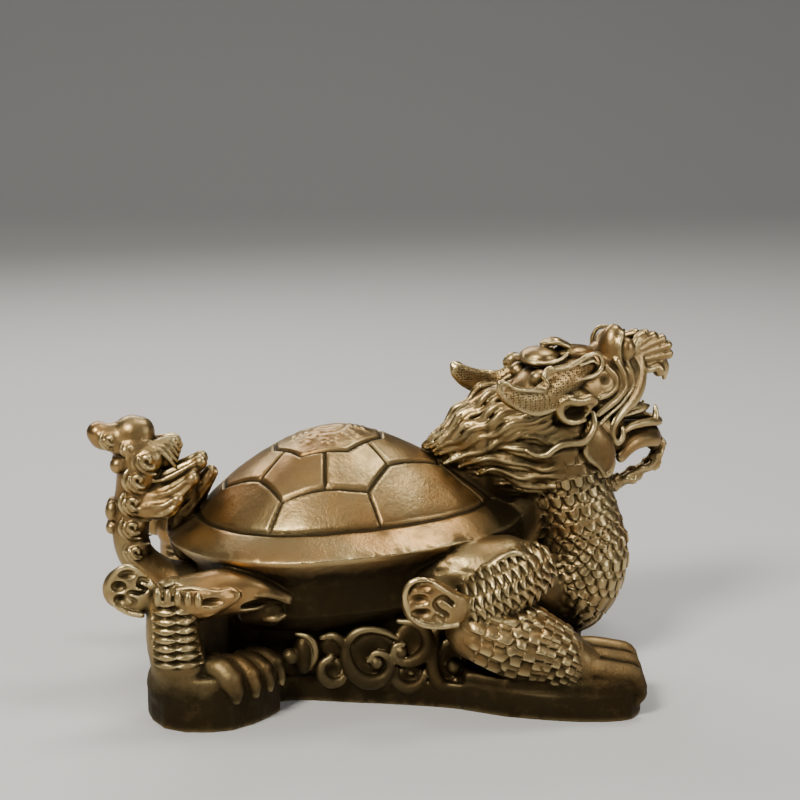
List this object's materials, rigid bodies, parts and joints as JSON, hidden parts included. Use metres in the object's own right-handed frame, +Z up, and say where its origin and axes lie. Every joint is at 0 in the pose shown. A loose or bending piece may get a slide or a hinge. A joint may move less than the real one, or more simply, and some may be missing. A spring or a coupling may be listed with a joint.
{
  "type": "dragon turtle figure",
  "caption": "Cast brass ornament: a dragon-headed turtle with plated shell and curled tail, standing on a low lobed plinth.",
  "frame": {"origin": "centre of the bounding box on the flat underside of the plinth", "axes": "+X towards the head and along the longest extent, +Y to the figure's left, +Z up"},
  "size_m": [0.2344, 0.1302, 0.1412],
  "materials": {
    "brass": "aged cast brass, warm brown-gold, dark patina in the recesses, worn bright on the edges"
  },
  "bodies": {
    "root": {"dragon_turtle": "brass"}
  },
  "joints": []
}
